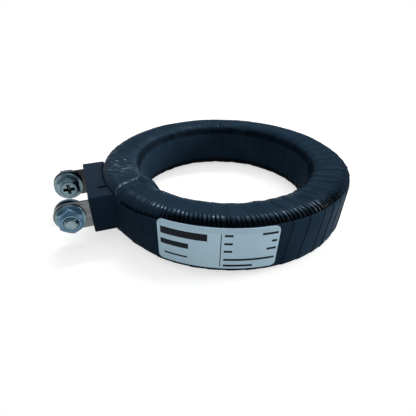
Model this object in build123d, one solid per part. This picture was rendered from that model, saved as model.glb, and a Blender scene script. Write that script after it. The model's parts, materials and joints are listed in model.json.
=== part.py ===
from build123d import *
from math import cos, degrees, radians, sin, sqrt, tan
import os

# Window current transformer: a tape-wound ring with a moulded terminal block on its side wall.
# Millimetres. The origin is the centre of the window at half height, +Z runs along the
# window's axis, and +X points from the axis to the terminals.

# ---- finished ring ----
WINDOW_R = 42.5          # radius of the clear window
RING_R = 60.75           # radius of the side wall
RING_H = 25.6            # height over the wrap
WINDOW_EDGE_R = 5.5      # rounding between the window and the end faces
SHOULDER_R = 5.4         # rounding between the end faces and the side wall
SHOULDER_PROUD = 0.2     # how far the shoulders' rounding reaches out over the side wall
CREASE_Z = 10.6          # height of the wall tape's edge, where the ridged shoulder begins
WALL_FLAT_Z = 8.4        # above this height the wall tape rolls in towards its edge
WALL_ROLL = 0.5          # how far it rolls in

# ---- layers, from the outside in ----
WRAP_T = 1.2             # outer wrap of overlapping tape
WINDING_TAPE_T = 0.4     # tape between the winding and the wrap
WIRE_D = 1.4             # enamelled wire of the secondary winding
CORE_TAPE_T = 0.8        # insulation on the core
END_RING_T = 2.8         # moulded rings that round the core's edges
LAYER_GAP = 0.04         # clearance between one layer and the next
MIN_CORNER_R = 0.3       # smallest corner of an inner layer

# ---- surface of the outer wrap ----
WIRE_TURNS = 200         # turns of the winding, which press ridges into the shoulders
RIDGE_DEPTH = 0.35       # depth of the grooves between two ridges
RIDGE_REACH = 1.3        # how far the grooves run in from the shoulder on the end faces
RIDGE_FADE = 1.4         # the ridges fade out this much before the grooves
TAPE_TURNS = 50          # turns of the outer tape round the ring's section
TAPE_STEP = 0.18         # step at each overlap of the tape
TAPE_LEAN = 5.5          # degrees that the overlaps lean from the ring's axis
PAD_HALF_ANGLE = 20.5    # degrees: flat tape over the block's root, each side of +X
PAD_T = 0.4              # thickness that this flat tape adds

# ---- terminal block ----
BLOCK_W = 35.6           # width, across the ring's radius
BLOCK_H = 17.7
BLOCK_FACE_X = 69.0      # outer face, from the window's axis
BLOCK_Z = 1.65           # height of the block's middle
BLOCK_EDGE_R = 0.6
BLOCK_FIT = 0.03         # between the block's saddle and the ring
POCKET_END_WALL = 1.3    # wall between a lead pocket and the block's end
POCKET_W = 11.0          # width of a lead pocket
POCKET_H = 13.4
POCKET_FRONT_WALL = 3.7  # wall between a lead pocket and the outer face
SLIT_W = 0.9             # lead slit in the block's top
SLIT_L = 2.6             # how far it runs out past the ring

# ---- terminal straps ----
TERMINAL_Z = 2.0         # height of the straps' middle, and of the screws
STRAP_W = 12.8
STRAP_T = 1.5
STRAP_Y = 15.6           # middle of a strap's thickness
STRAP_END_X = 84.5
STRAP_FIT = 0.1          # round the strap in its slot
STRAP_HOLE_R = 3.3
BEND_R = 0.6             # inside radius of the bend
FOOT_L = 8.4             # foot inside the block, from the strap's inner face
FOOT_TIP_W = 7.0         # width at the foot's tip
FOOT_GAP = 0.3           # between the foot and the pocket's end wall

# ---- screws, nuts and washers ----
SCREW_X = 77.5
SCREW_D = 6.0
SCREW_L = 10.6           # under the head
HEX_AF = 10.0            # across flats, screw head and nut
HEX_FACE_R = 3.8         # flat round face inside the hexagon's chamfer
HEX_CHAMFER = 30         # degrees
HEAD_H = 3.0
CROSS_L = 5.4            # cross recess: length and width of an arm, and depth
CROSS_W = 1.6
CROSS_H = 2.0
CROSS_TIP = 0.45         # size of the recess at its bottom, as a share of its mouth
NUT_H = 4.0
TIP_CHAMFER = 0.9
MOUTH_CHAMFER = 0.35     # at both ends of the nut's bore
THREAD_GAP = 0.04        # between the screw and the nut, thread left plain
HEAD_WASHER_R = 6.8
NUT_WASHER_R = 6.3
WASHER_HOLE_R = 3.25
WASHER_T = 1.2
WASHER_EDGE = 0.2        # chamfer round a washer
SPRING_R = 5.2           # split washer between the head's washer and the strap
SPRING_T = 1.6
SPRING_SPLIT = 0.8
SPRING_SPLIT_LEAN = 25   # degrees

# ---- leads ----
LEAD_Y = 9.6             # where the leads leave the winding, each side of +X
LEAD_Z = -1.7
LEAD_BEND_R = 1.6
LEAD_RISE = 4.6          # straight end that lies on the strap's foot
LEAD_GAP = 0.05          # between the lead and what it touches
SLEEVE_T = 0.4

# ---- rating label ----
LABEL_AT = 64.5          # degrees from +X to the label's middle
LABEL_W = 48.0           # along the wall
LABEL_H = 19.2
LABEL_T = 0.3
LABEL_CORNER_R = 2.2
LABEL_Z = 0.85           # height of the label's middle: its top edge lies at the crease
LABEL_FIT = 0.02

# ---- worked out from the above ----
HALF_H = RING_H / 2
SHOULDER_OUT_R = RING_R + SHOULDER_PROUD
SHOULDER_MID_R = SHOULDER_OUT_R - SHOULDER_R
SHOULDER_MID_Z = HALF_H - SHOULDER_R
RIDGE_START_R = SHOULDER_MID_R - RIDGE_REACH
PAD_R = RING_R + PAD_T
FOOT_BACK_X = BLOCK_FACE_X - POCKET_FRONT_WALL - FOOT_GAP
FOOT_FACE_X = FOOT_BACK_X - STRAP_T
LEAD_X = FOOT_FACE_X - LEAD_GAP - WIRE_D / 2
SLEEVE_R = WIRE_D / 2 + LEAD_GAP + SLEEVE_T
STRAP_IN_Y = STRAP_Y - STRAP_T / 2
STRAP_OUT_Y = STRAP_Y + STRAP_T / 2
HEAD_Y = STRAP_IN_Y - SPRING_T - WASHER_T
UPRIGHT = (Align.CENTER, Align.CENTER, Align.MIN)
OUTWARD = (Align.MIN, Align.CENTER, Align.CENTER)


def ring_section(inset):
    """Half section of the ring in the XZ plane, set in from the finished ring by inset."""
    r_in, r_out, top = WINDOW_R + inset, RING_R - inset, HALF_H - inset
    section = Pos((r_in + r_out) / 2, 0) * Rectangle(r_out - r_in, 2 * top)
    corners = section.vertices().group_by(Axis.X)
    section = fillet(corners[-1], max(SHOULDER_R - inset, MIN_CORNER_R))
    inner = section.vertices().group_by(Axis.X)[0]
    return Plane.XZ * fillet(inner, max(WINDOW_EDGE_R - inset, MIN_CORNER_R))


def ring(inset):
    return revolve(ring_section(inset), Axis.Z)


def layer(inset, thickness):
    """Closed shell round the ring's section, with clearance to the layer inside it."""
    return ring(inset) - ring(inset + thickness)


# Insets of the layers' outer faces from the finished ring.
INSET_WINDING_TAPE = WRAP_T + LAYER_GAP
INSET_WINDING = INSET_WINDING_TAPE + WINDING_TAPE_T + LAYER_GAP
INSET_CORE_TAPE = INSET_WINDING + WIRE_D + LAYER_GAP
INSET_CORE = INSET_CORE_TAPE + CORE_TAPE_T + LAYER_GAP
END_RING_Z = HALF_H - INSET_CORE - END_RING_T


def at_angle(radius, angle, z):
    return (radius * cos(radians(angle)), radius * sin(radians(angle)), z)


def shoulder_r(z, depth):
    """Radius of the shoulder's rounding at height z, or of its grooves when depth is given."""
    return SHOULDER_MID_R + sqrt(max((SHOULDER_R - depth) ** 2 - (z - SHOULDER_MID_Z) ** 2, 0))


def ridged_face(ridge_r, groove_r, z):
    """Level section of a shoulder: ridges all round, and a plain arc over the block."""
    pitch = 360 / WIRE_TURNS
    plain = pitch * round(PAD_HALF_ANGLE / pitch - 0.5)
    steps = round((360 - 2 * plain) / pitch * 2)
    angles = [plain + i * pitch / 2 for i in range(steps + 1)]
    radii = [ridge_r if i % 2 == 0 else groove_r for i in range(steps + 1)]
    points = [at_angle(r, a, z) for r, a in zip(radii, angles)]
    edges = [Line(p, q) for p, q in zip(points, points[1:])]
    edges.append(ThreePointArc(points[-1], at_angle(ridge_r, 0, z), points[0]))
    return Face(Wire(edges))


def ridged_shoulder():
    """The upper shoulder, from the crease to the end face, with a ridge over each turn of wire."""
    levels = [CREASE_Z + share * (HALF_H - CREASE_Z) for share in (0, 0.45, 0.77, 0.93)]
    sections = [ridged_face(shoulder_r(z, 0), shoulder_r(z, RIDGE_DEPTH), z) for z in levels]
    sections.append(ridged_face(RIDGE_START_R + RIDGE_FADE, RIDGE_START_R, HALF_H))
    return loft(sections, ruled=True)


def lapped_face(radius, z):
    """Level section of the side wall: each turn of tape laps over the one before."""
    pitch = 360 / TAPE_TURNS
    turn = degrees(z * tan(radians(TAPE_LEAN)) / RING_R)
    edges = []
    for i in range(TAPE_TURNS):
        a = i * pitch + turn
        start, end = at_angle(radius + TAPE_STEP, a, z), at_angle(radius, a + pitch, z)
        middle = at_angle(radius + TAPE_STEP / 2, a + pitch / 2, z)
        edges.append(ThreePointArc(start, middle, end))
        edges.append(Line(end, at_angle(radius + TAPE_STEP, a + pitch, z)))
    return Face(Wire(edges))


def wall_outline(outset):
    """Radius and height along the side wall, from its lower edge to its upper one."""
    full, rolled = RING_R + outset, RING_R + outset - WALL_ROLL
    return [(rolled, -CREASE_Z), (full, -WALL_FLAT_Z), (full, WALL_FLAT_Z), (rolled, CREASE_Z)]


def lapped_wall():
    return loft([lapped_face(radius, z) for radius, z in wall_outline(0)], ruled=True)


def flat_pad():
    """Flat tape over the block's root: it covers the ridges and the side wall for a short arc."""
    section = Pos(PAD_R - SHOULDER_R, 0) * Rectangle(2 * SHOULDER_R, RING_H)
    section = fillet(section.vertices().group_by(Axis.X)[-1], SHOULDER_R)
    return Rot(0, 0, -PAD_HALF_ANGLE) * revolve(Plane.XZ * section, Axis.Z, 2 * PAD_HALF_ANGLE)


def window_side():
    """All that lies outside the window, with its rounded edges, for cutting the wrap."""
    far = 2 * RING_R
    section = Pos((WINDOW_R + far) / 2, 0) * Rectangle(far - WINDOW_R, RING_H)
    section = fillet(section.vertices().group_by(Axis.X)[0], WINDOW_EDGE_R)
    return revolve(Plane.XZ * section, Axis.Z)


def lead_hole(side):
    """Hole for a lead and its sleeve, through the tape and the wrap."""
    hole = Cylinder(SLEEVE_R + LEAD_GAP, RING_R, align=UPRIGHT)
    return Pos(WINDOW_R + WRAP_T * 3, side * LEAD_Y, LEAD_Z) * Rot(0, 90, 0) * hole


def make_outer_wrap():
    shoulder = ridged_shoulder()
    body = lapped_wall() + shoulder + mirror(shoulder, Plane.XY)
    body = body + Cylinder(SHOULDER_MID_R - RIDGE_REACH, RING_H) + flat_pad()
    body = (body & window_side()) - ring(WRAP_T)
    return body - lead_hole(1) - lead_hole(-1)


def make_winding_tape():
    return layer(INSET_WINDING_TAPE, WINDING_TAPE_T) - lead_hole(1) - lead_hole(-1)


def make_core():
    height = 2 * (END_RING_Z - LAYER_GAP)
    return Cylinder(RING_R - INSET_CORE, height) - Cylinder(WINDOW_R + INSET_CORE, height)


def make_end_ring():
    """Upper end ring, rounded so that the winding isn't bent over the core's sharp edges."""
    return ring(INSET_CORE) & Pos(0, 0, END_RING_Z) * Cylinder(RING_R, HALF_H, align=UPRIGHT)


def pocket(side):
    """Space behind a strap for its foot and lead, open to the ring."""
    depth = BLOCK_FACE_X - POCKET_FRONT_WALL
    space = Box(depth, POCKET_W, POCKET_H, align=(Align.MIN, Align.MAX, Align.CENTER))
    space = Pos(0, BLOCK_W / 2 - POCKET_END_WALL, TERMINAL_Z) * space
    return space if side > 0 else mirror(space, Plane.XZ)


def strap_slot(side):
    slot = Box(BLOCK_W, STRAP_T + 2 * STRAP_FIT, STRAP_W + 2 * STRAP_FIT, align=OUTWARD)
    return Pos(FOOT_FACE_X, side * STRAP_Y, TERMINAL_Z) * slot


def make_terminal_block():
    block = Box(BLOCK_FACE_X, BLOCK_W, BLOCK_H, align=OUTWARD)
    ring_side = block.faces().sort_by(Axis.X)[0].edges()
    block = fillet([e for e in block.edges() if e not in ring_side], BLOCK_EDGE_R)
    block = Pos(0, 0, BLOCK_Z) * block - Cylinder(PAD_R + BLOCK_FIT, 3 * RING_H)
    for side in (1, -1):
        block = block - pocket(side) - strap_slot(side)
    slit = Box(PAD_R + SLIT_L, SLIT_W, BLOCK_H / 2, align=(Align.MIN, Align.CENTER, Align.MIN))
    return block - Pos(0, LEAD_Y, BLOCK_Z) * slit


def make_strap():
    """Strap on the +Y side: a round-ended blade, and a foot bent towards the block's middle."""
    tip_y = STRAP_IN_Y - FOOT_L
    outline = [(STRAP_END_X, STRAP_IN_Y), (STRAP_END_X, STRAP_OUT_Y), (FOOT_FACE_X, STRAP_OUT_Y),
               (FOOT_FACE_X, tip_y), (FOOT_BACK_X, tip_y), (FOOT_BACK_X, STRAP_IN_Y)]
    plan = make_face(Polyline(outline, close=True))
    corner = plan.vertices().sort_by_distance((FOOT_BACK_X, STRAP_IN_Y))[0]
    plan = fillet(corner, BEND_R)
    corner = plan.vertices().sort_by_distance((FOOT_FACE_X, STRAP_OUT_Y))[0]
    plan = fillet(corner, BEND_R + STRAP_T)
    strap = extrude(plan, STRAP_W / 2, both=True)

    blade = Pos(STRAP_END_X / 2, 0) * Rectangle(STRAP_END_X, STRAP_W)
    blade = fillet(blade.vertices().group_by(Axis.X)[-1], STRAP_W / 2 - 0.01)
    blade = extrude(Plane.XZ * blade, 2 * RING_R, both=True)
    half, tip_half = STRAP_W / 2, FOOT_TIP_W / 2
    taper = [(STRAP_OUT_Y, -half), (STRAP_OUT_Y, half), (STRAP_IN_Y, half), (tip_y, tip_half),
             (tip_y, -tip_half), (STRAP_IN_Y, -half)]
    foot = extrude(Plane.YZ * make_face(Polyline(taper, close=True)), 2 * RING_R)
    hole = Pos(SCREW_X, 0, 0) * Rot(90, 0, 0) * Cylinder(STRAP_HOLE_R, 2 * RING_R)
    return Pos(0, 0, TERMINAL_Z) * ((strap & blade & foot) - hole)


def hexagon(height, turn):
    """Hexagonal prism on the XY plane, chamfered at its top, with corners on the Y axis unless turned."""
    corner_r = HEX_AF / sqrt(3)
    prism = extrude(Rot(0, 0, 30 + turn) * RegularPolygon(corner_r, 6), height)
    turned = Cylinder(corner_r, height, align=UPRIGHT)
    wide = corner_r - HEX_FACE_R
    rim = turned.faces().sort_by(Axis.Z)[-1].edges()
    return prism & chamfer(rim, wide * tan(radians(HEX_CHAMFER)), wide)


def cross_face(scale, z):
    arm = Rectangle(CROSS_L * scale, CROSS_W * scale)
    return Pos(0, 0, z) * (arm + Rot(0, 0, 90) * arm)


def make_screw(turn):
    """Screw along +Z with its head below the XY plane, and a cross recess in the head."""
    head = Rot(180, 0, 0) * hexagon(HEAD_H, turn)
    recess = loft([cross_face(1, -HEAD_H), cross_face(CROSS_TIP, CROSS_H - HEAD_H)], ruled=True)
    shank = Cylinder(SCREW_D / 2, SCREW_L, align=UPRIGHT)
    shank = chamfer(shank.edges().group_by(Axis.Z)[-1], TIP_CHAMFER)
    return head - recess + shank


def make_nut(turn):
    bore_r = SCREW_D / 2 + THREAD_GAP
    nut = hexagon(NUT_H, turn) - Cylinder(bore_r, 3 * NUT_H)
    mouths = [e for e in nut.edges().filter_by(GeomType.CIRCLE) if abs(e.radius - bore_r) < THREAD_GAP]
    return chamfer(mouths, MOUTH_CHAMFER)


def make_washer(radius):
    washer = Cylinder(radius, WASHER_T, align=UPRIGHT)
    washer = chamfer(washer.edges().filter_by(GeomType.CIRCLE), WASHER_EDGE)
    return washer - Cylinder(WASHER_HOLE_R, 3 * WASHER_T)


def make_spring_washer():
    """Split ring, pressed flat as it is when tightened, with its split on the +Y side."""
    washer = Cylinder(SPRING_R, SPRING_T, align=UPRIGHT) - Cylinder(WASHER_HOLE_R, 3 * SPRING_T)
    split = Box(SPRING_SPLIT, 2 * SPRING_R, 3 * SPRING_T, align=(Align.CENTER, Align.MIN, Align.CENTER))
    return washer - Pos(0, 0, SPRING_T / 2) * Rot(0, SPRING_SPLIT_LEAN, 0) * split


def on_screw_axis(piece, y):
    """Turn a piece from +Z to +Y and set it on the screw's axis at y."""
    return Pos(SCREW_X, y, TERMINAL_Z) * Rot(-90, 0, 0) * piece


def make_lead():
    """Lead on the +Y side: straight out of the winding, then up along the strap's foot."""
    start = (WINDOW_R + (RING_R - WINDOW_R) / 2, LEAD_Y, LEAD_Z)
    top = LEAD_Z + LEAD_BEND_R + LEAD_RISE
    path = FilletPolyline(start, (LEAD_X, LEAD_Y, LEAD_Z), (LEAD_X, LEAD_Y, top), radius=LEAD_BEND_R)
    wire = sweep(Plane(start, z_dir=(1, 0, 0)) * Circle(WIRE_D / 2), path=path)
    return wire - ring(INSET_WINDING - LEAD_GAP)


def make_sleeve():
    end_x = LEAD_X - LEAD_BEND_R
    tube = Cylinder(SLEEVE_R, end_x, align=UPRIGHT)
    tube = tube - Cylinder(WIRE_D / 2 + LEAD_GAP, 3 * end_x)
    tube = Pos(0, LEAD_Y, LEAD_Z) * Rot(0, 90, 0) * tube
    return (tube - ring(INSET_WINDING - LEAD_GAP)) - Cylinder(RING_R - SHOULDER_R, RING_H)


def wall_disc(outset):
    """Solid of the side wall's outline, without its laps."""
    points = [(0, -CREASE_Z)] + wall_outline(outset) + [(0, CREASE_Z)]
    return revolve(Plane.XZ * make_face(Polyline(points, close=True)), Axis.Z)


def make_label():
    """Thin plate bent round the side wall, just under the upper shoulder."""
    inset = TAPE_STEP + LABEL_FIT
    plate = wall_disc(inset + LABEL_T) - wall_disc(inset)
    chord = 2 * RING_R * sin(LABEL_W / RING_R / 2)
    outline = Pos(0, LABEL_Z) * RectangleRounded(chord, LABEL_H, LABEL_CORNER_R)
    return Rot(0, 0, LABEL_AT) * (plate & extrude(Plane.YZ * outline, 2 * RING_R))


def make_terminal(screw_turn, nut_turn):
    """All that belongs to the terminal on the +Y side."""
    return {
        "terminal_strap": make_strap(),
        "terminal_screw": on_screw_axis(make_screw(screw_turn), HEAD_Y),
        "head_washer": on_screw_axis(make_washer(HEAD_WASHER_R), HEAD_Y),
        "spring_washer": on_screw_axis(make_spring_washer(), HEAD_Y + WASHER_T),
        "nut_washer": on_screw_axis(make_washer(NUT_WASHER_R), STRAP_OUT_Y),
        "terminal_nut": on_screw_axis(make_nut(nut_turn), STRAP_OUT_Y + WASHER_T),
        "lead": make_lead(),
        "lead_sleeve": make_sleeve(),
    }


def build_nodes():
    end_ring = make_end_ring()
    nodes = {
        "core": make_core(),
        "core_end_ring_upper": end_ring,
        "core_end_ring_lower": mirror(end_ring, Plane.XY),
        "core_tape": layer(INSET_CORE_TAPE, CORE_TAPE_T),
        "secondary_winding": layer(INSET_WINDING, WIRE_D),
        "winding_tape": make_winding_tape(),
        "outer_wrap": make_outer_wrap(),
        "rating_label": make_label(),
        "terminal_block": make_terminal_block(),
    }
    # Tightened screws and nuts come to rest at any angle; here by half a flat either way.
    for name, piece in make_terminal(30, 0).items():
        nodes[name + "_a"] = piece
    for name, piece in make_terminal(0, 30).items():
        nodes[name + "_b"] = mirror(piece, Plane.XZ)
    return nodes


os.makedirs("parts", exist_ok=True)
for name, shape in build_nodes().items():
    export_step(shape, f"parts/{name}.step")
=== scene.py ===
import json
import math
from functools import cache
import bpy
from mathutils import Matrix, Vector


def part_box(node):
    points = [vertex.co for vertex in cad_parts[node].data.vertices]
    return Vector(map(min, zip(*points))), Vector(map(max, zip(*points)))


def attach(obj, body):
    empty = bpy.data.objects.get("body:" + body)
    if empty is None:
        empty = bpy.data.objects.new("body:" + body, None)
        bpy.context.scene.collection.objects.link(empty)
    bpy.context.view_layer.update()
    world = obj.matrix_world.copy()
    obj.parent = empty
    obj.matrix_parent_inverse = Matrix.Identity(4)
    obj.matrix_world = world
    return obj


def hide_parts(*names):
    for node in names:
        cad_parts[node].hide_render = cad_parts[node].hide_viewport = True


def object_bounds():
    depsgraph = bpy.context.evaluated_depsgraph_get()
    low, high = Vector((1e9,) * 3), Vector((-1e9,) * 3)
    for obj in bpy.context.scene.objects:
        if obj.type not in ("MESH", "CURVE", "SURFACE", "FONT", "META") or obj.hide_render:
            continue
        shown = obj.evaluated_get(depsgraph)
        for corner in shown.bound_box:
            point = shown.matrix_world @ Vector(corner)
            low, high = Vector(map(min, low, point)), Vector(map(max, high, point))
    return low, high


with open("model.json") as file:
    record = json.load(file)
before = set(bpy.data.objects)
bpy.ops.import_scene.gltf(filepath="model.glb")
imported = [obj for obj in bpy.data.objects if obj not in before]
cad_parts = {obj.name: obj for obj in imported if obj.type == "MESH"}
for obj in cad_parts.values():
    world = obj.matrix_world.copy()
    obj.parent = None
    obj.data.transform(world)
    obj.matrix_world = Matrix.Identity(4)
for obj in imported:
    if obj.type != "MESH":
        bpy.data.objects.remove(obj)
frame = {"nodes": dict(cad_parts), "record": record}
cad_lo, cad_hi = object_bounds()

from types import SimpleNamespace

import bpy
import numpy as np
from mathutils import Matrix, Vector, noise

# Dressed model of a window current transformer: the relief of its tape wrap, the crumpled tape
# over its terminal block's root, the print on its label, the looks of every piece, and the stage.
#
# Lengths are millimetres, except on the stage, which is in metres. Angles round the ring are
# degrees from +X, where the terminal block is, towards +Y, the front. MM turns millimetres into
# the metres that Blender works in.
MM = 0.001
rng = np.random.default_rng(85)


def box_mm(node):
    lo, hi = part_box(node)
    return np.array(lo) / MM, np.array(hi) / MM


# ---- sizes, read from the frame ----
wrap_lo, wrap_hi = box_mm("outer_wrap")
screw_lo, screw_hi = box_mm("terminal_screw_a")
label_lo, label_hi = box_mm("rating_label")
label_points = [v.co for v in frame["nodes"]["rating_label"].data.vertices]
label_angles = [math.degrees(math.atan2(p.y, p.x)) for p in label_points]

WINDOW_R = next(m for m in frame["record"]["mounts"] if m["name"] == "window")["dims"]["r_mm"]
HALF_H = wrap_hi[2]
BLOCK_TOP = box_mm("terminal_block")[1][2]
SCREW_AXIS = (screw_lo + screw_hi) / 2
HEAD_FACE, SCREW_TIP = screw_lo[1], screw_hi[1]   # along the screws, from the part's middle
NUT_FACE = box_mm("terminal_nut_a")[1][1]
LABEL_R = max(math.hypot(p.x, p.y) for p in label_points) / MM
LABEL_AT = (min(label_angles) + max(label_angles)) / 2
LABEL_Z = (label_lo[2] + label_hi[2]) / 2

# ---- form of the wrap ----
TAPE_STEP = 0.18             # height of a lap's edge on the side wall
RING_R = -wrap_lo[0] - TAPE_STEP
SHOULDER_R = 5.4
SHOULDER_OUT_R = RING_R + 0.2    # the ridged shoulder reaches a little past the wall
WINDOW_EDGE_R = 5.5
ARC_IN = (WINDOW_R + WINDOW_EDGE_R, HALF_H - WINDOW_EDGE_R)     # (r, z) of the window edge's centre
ARC_OUT = (SHOULDER_OUT_R - SHOULDER_R, HALF_H - SHOULDER_R)    # (r, z) of the shoulder's centre
CREASE_Z = HALF_H - 2.2      # edge of the wall tape, where the ridged shoulder begins
CREASE_ANGLE = math.degrees(math.asin((CREASE_Z - ARC_OUT[1]) / SHOULDER_R))
CREASE_DROP = 2.2            # how far the crease runs lower on the block's front side,
CREASE_PULL = 0.45           # by what share the shoulder's arc is drawn out down to it,
WALL_STILL_Z = 3.0           # and below what height the wall doesn't follow it
WALL_FLAT_Z = HALF_H - 4.4   # above this height the wall tape rolls in
WALL_ROLL = 0.5              # how far in the wall tape's edge lies
BUNCH_H = 1.5                # height of the tape bunched up over the window's edge by the block
SINK_H = 0.6                 # how far the lower shoulder has sunk by the block

RIDGES = 200                 # one over each turn of the winding
LAPS = 50                    # turns of the outer tape
RIDGES_A_LAP = RIDGES // LAPS
NEAR_GROOVE = (-0.36, -0.22, -0.10, 0.10, 0.22, 0.36)   # columns beside each groove, in ridges
LAP_END = 0.997              # a lap's last column, in laps
LAP_EDGE = 0.99              # from here on a column belongs to the lap's edge
FIRST_LAP = 3.0              # degrees from +X to the first lap's edge
UNEVEN_LAPS = slice(12, 17)  # the laps past the label's far end, and how many degrees they are off
UNEVEN_BY = np.array([0.0, 0.4, 1.1, -0.2, -1.1])

# ---- crumpled tape over the block's root ----
PATCH_HALF = 20.5            # degrees, each side of +X
PATCH_OUT = 0.35             # how far it stands out over the side wall
PATCH_T = 0.25               # its thickness
CRUMPLE_AT = np.array([51.0, -3.0, HALF_H])   # middle of the pleats
PLEATS = 16
SEAM_AT, SEAM_R = 16.3, 58.3     # the tape's seam: its azimuth at this radius,
SEAM_SLANT = 0.33                # and how many degrees more at each millimetre outwards
SLIT_Y, SLIT_END_X = 9.6, 64.5   # lead slit in the block's top

# ---- rows and columns of vertices ----
WINDOW_ROWS, EDGE_ROWS, TOP_ROWS, SHOULDER_ROWS, WALL_ROWS = 4, 8, 7, 10, 4
PATCH_FINE = 4               # the patch has this many times the rows in its window, edge and top
PATCH_SHOULDER_ROWS, PATCH_WALL_ROWS, PATCH_COLUMNS = 52, 32, 150

# ---- regions round the ring, in degrees: start, full from, full to, end ----
LOW_CREASE = (14, 18, 24, 54)        # the crease runs lower
BUNCHED = (9, 15, 20, 28)            # the tape is bunched up over the window's edge
SETTLED = (12, 20, 32, 45)           # the lower shoulder has sunk
SLACK = (12, 20, 36, 46)             # the ridges are weaker
SMOOTH_TOP = (24, 34, 80, 92)        # the top's ridges are flatter,
RIDGED_TOP = (78, 105, 190, 215)     # or deeper,
LINED_TOP = (92, 112, 190, 220)      # with painted shade in the grooves
PALER_SHADE = (112, 128, 170, 200)      # the painted shade under the shoulder is lighter
UNSHADED_LAP_EDGES = (36, 42, 145, 160)      # the laps' edges on the side wall get no painted shade
SHINIEST = [(76, 88, 108, 120), (20, 26, 44, 54)]   # the ridges shine most, and their painted highlight is brightest, over the label's two ends
SHORT_SHINE = (16, 22, 46, 56)       # they shine, with a painted highlight, on their upper ends only
DULL = (103, 114, 230, 250)          # they neither shine nor get a painted highlight


# =============================== mesh helpers ===============================

def make_object(name, verts_mm, faces, material, slot, replaced=(), smooth_angle=None):
    mesh = bpy.data.meshes.new(name)
    mesh.from_pydata((np.asarray(verts_mm) * MM).tolist(), [], faces)
    mesh.validate()
    mesh.polygons.foreach_set("use_smooth", [True] * len(mesh.polygons))
    if smooth_angle is not None:
        mesh.set_sharp_from_angle(angle=math.radians(smooth_angle))
    mesh.materials.append(material)
    piece = bpy.data.objects.new(name, mesh)
    bpy.context.scene.collection.objects.link(piece)
    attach(piece, "root")
    if replaced:
        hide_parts(*replaced)
    return piece


def set_values(piece, name, values):
    """Stores one number for each vertex, for the piece's material."""
    piece.data.attributes.new(name, "FLOAT", "POINT").data.foreach_set("value", values.ravel())


def grid_faces(columns, rows, wrap_columns=False, wrap_rows=False):
    """Quads of a grid whose vertex number is column * rows + row."""
    i = np.arange(columns if wrap_columns else columns - 1)
    j = np.arange(rows if wrap_rows else rows - 1)
    i, j = [a.ravel() for a in np.meshgrid(i, j, indexing="ij")]
    i2, j2 = (i + 1) % columns, (j + 1) % rows
    return np.stack([i * rows + j, i2 * rows + j, i2 * rows + j2, i * rows + j2], 1).tolist()


def closed_shell(outer, inner):
    """Vertices and faces of a sheet between two grids whose rows run round, with both rims closed."""
    columns, rows = outer.shape[:2]
    shell, last = columns * rows, (columns - 1) * rows
    faces = grid_faces(columns, rows, wrap_rows=True)
    faces += [[v + shell for v in reversed(face)] for face in faces]
    for j in range(rows):
        k = (j + 1) % rows
        faces.append([j, k, k + shell, j + shell])
        faces.append([last + k, last + j, last + j + shell, last + k + shell])
    return np.concatenate([outer.reshape(-1, 3), inner.reshape(-1, 3)]), faces


def around(angle, r, z):
    """Turns radii and heights of the section into x, y, z at angles in radians."""
    r, z = np.broadcast_to(r, angle.shape), np.broadcast_to(z, angle.shape)
    return np.stack([r * np.cos(angle), r * np.sin(angle), z], -1)


def polar(points):
    """Angle in degrees from +X, radius and height of each point."""
    x, y, z = np.moveaxis(points, -1, 0)
    return np.degrees(np.arctan2(y, x)), np.hypot(x, y), z


def waves(points, size, count, seed):
    """Smooth noise, mostly from -1 to 1, with bumps of about this size."""
    local = np.random.default_rng(seed)
    total = np.zeros(points.shape[:-1])
    for _ in range(count):
        direction = local.normal(size=3)
        direction *= local.uniform(0.6, 1.5) * 2 * np.pi / (2.2 * size * np.linalg.norm(direction))
        total += np.sin(points @ direction + local.uniform(0, 2 * np.pi))
    return total / math.sqrt(count)


def creases(points, size, seed, sharp):
    """Sharp folds with soft sides, from 0 to 1."""
    shift = Vector((7.3, 3.1, 5.7)) * seed
    values = [1 - abs(noise.noise(Vector(p) / size + shift)) * 2 for p in points.reshape(-1, 3)]
    return (np.clip(np.array(values), 0, 1) ** sharp).reshape(points.shape[:-1])


def fade(x, start, end):
    """0 before start, 1 after end, smooth between; start may be the larger."""
    t = np.clip((x - start) / (end - start), 0, 1)
    return t * t * (3 - 2 * t)


def between(x, start, full_from, full_to, end):
    """1 from full_from to full_to, falling smoothly to 0 at start and end."""
    return fade(x, start, full_from) * fade(x, end, full_to)


# =============================== the ring's section ===============================

def arc(centre, radius, start, end, count):
    """Points and normals (r, z, normal r, normal z) along an arc, without its last point."""
    angles = np.radians(np.linspace(start, end, count, endpoint=False))
    return [(centre[0] + radius * math.cos(a), centre[1] + radius * math.sin(a), math.cos(a), math.sin(a))
            for a in angles]


def window_and_top(fine=1):
    """Points and normals from the window's middle, round its edge and over the flat top."""
    window = [(WINDOW_R, z, -1.0, 0.0)
              for z in np.linspace(0, ARC_IN[1], WINDOW_ROWS * fine, endpoint=False)]
    edge = arc(ARC_IN, WINDOW_EDGE_R, 180, 90, EDGE_ROWS * fine)
    top = [(r, HALF_H, 0.0, 1.0)
           for r in np.linspace(ARC_IN[0], ARC_OUT[0], TOP_ROWS * fine, endpoint=False)]
    return window + edge + top


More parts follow.
